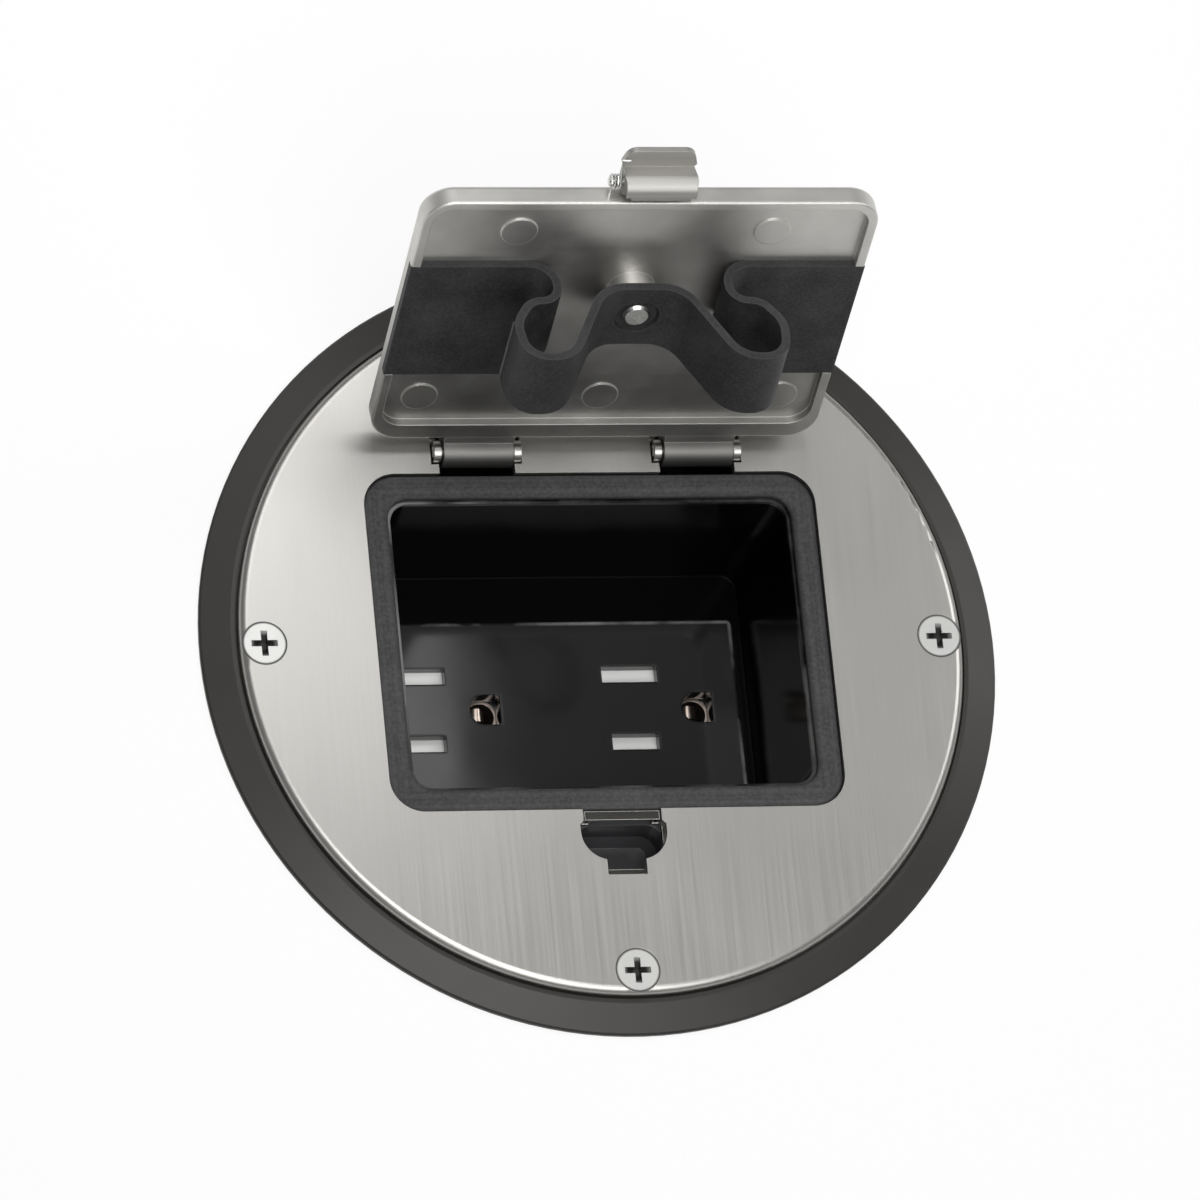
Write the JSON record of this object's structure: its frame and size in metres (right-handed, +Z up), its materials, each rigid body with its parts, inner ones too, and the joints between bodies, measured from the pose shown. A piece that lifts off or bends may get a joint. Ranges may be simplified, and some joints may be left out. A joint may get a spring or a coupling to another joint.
{
  "type": "floor socket box",
  "caption": "Round brushed-metal floor socket box with a hinged rectangular lid standing open, a rubber cord strap under the lid, a sprung latch and a black duplex receptacle set down in the cup",
  "frame": {"origin": "on the box's axis at the floor surface, where the drum's top meets the trim ring's underside", "axes": "+Z up out of the floor, +X along the lid's hinge, +Y from the latch towards the hinge"},
  "size_m": [0.143, 0.143, 0.188],
  "materials": {
    "brushed_plate": "brushed",
    "lid_metal": "satin",
    "latch_nickel": "satin",
    "hinge_steel": "satin",
    "keeper_steel": "polished",
    "zinc": "zinc plated",
    "spring_steel": "drawn wire",
    "contact_brass": "stamped",
    "ring_dark": "satin",
    "cup_black": "gloss",
    "face_black": "gloss",
    "base_plastic": "matte",
    "pocket_plastic": "gloss",
    "body_plastic": "matte",
    "shutter_white": "gloss",
    "gasket_rubber": "matte",
    "seal_rubber": "matte",
    "strap_rubber": "satin"
  },
  "bodies": {
    "box": {"box_body": "body_plastic", "conduit_hubs": "body_plastic", "conduit_plug": "body_plastic", "trim_ring": "ring_dark", "plate_seal": "seal_rubber", "cover_plate": "brushed_plate", "cover_screws": "zinc", "lid_gasket": "gasket_rubber", "recess_cup": "cup_black", "cup_studs": "zinc", "cup_nuts": "zinc", "hinge_bracket_left": "hinge_steel", "hinge_bracket_right": "hinge_steel", "hinge_pin_left": "zinc", "hinge_pin_right": "zinc", "keeper": "keeper_steel", "latch_pocket": "pocket_plastic", "receptacle_face": "face_black", "receptacle_base": "base_plastic", "receptacle_rivets": "zinc", "yoke": "zinc", "yoke_screws": "zinc", "neutral_contact": "contact_brass", "hot_contact": "contact_brass", "ground_contacts": "contact_brass", "terminal_screws": "contact_brass", "shutter_spring_left": "spring_steel", "shutter_spring_right": "spring_steel"},
    "lid": {"lid": "lid_metal", "strap": "strap_rubber", "strap_rivet": "zinc", "latch_pin": "zinc", "latch_spring": "spring_steel"},
    "latch": {"latch_lever": "latch_nickel"},
    "shutter_left": {"shutter_left": "shutter_white"},
    "shutter_right": {"shutter_right": "shutter_white"}
  },
  "joints": [
    {"name": "lid_hinge", "type": "hinge", "parent": "box", "child": "lid", "pos_m": [0, 0.0352, 0.0042], "axis": [1, 0, 0], "range_deg": [0, 109]},
    {"name": "latch_pivot", "type": "hinge", "parent": "lid", "child": "latch", "pos_m": [0, 0.05968, 0.06838], "axis": [-1, 0, 0], "range_deg": [0, 25], "stiffness_Nm_per_rad": 0.02, "springref_deg": -28.65, "deforming": ["latch_spring"]},
    {"name": "shutter_left_slide", "type": "slide", "parent": "box", "child": "shutter_left", "axis": [0, 1, 0], "range_m": [0, 0.0034], "stiffness_N_per_m": 300, "springref_m": -0.002, "deforming": ["shutter_spring_left"]},
    {"name": "shutter_right_slide", "type": "slide", "parent": "box", "child": "shutter_right", "axis": [0, 1, 0], "range_m": [0, 0.0034], "stiffness_N_per_m": 300, "springref_m": -0.002, "deforming": ["shutter_spring_right"]}
  ]
}
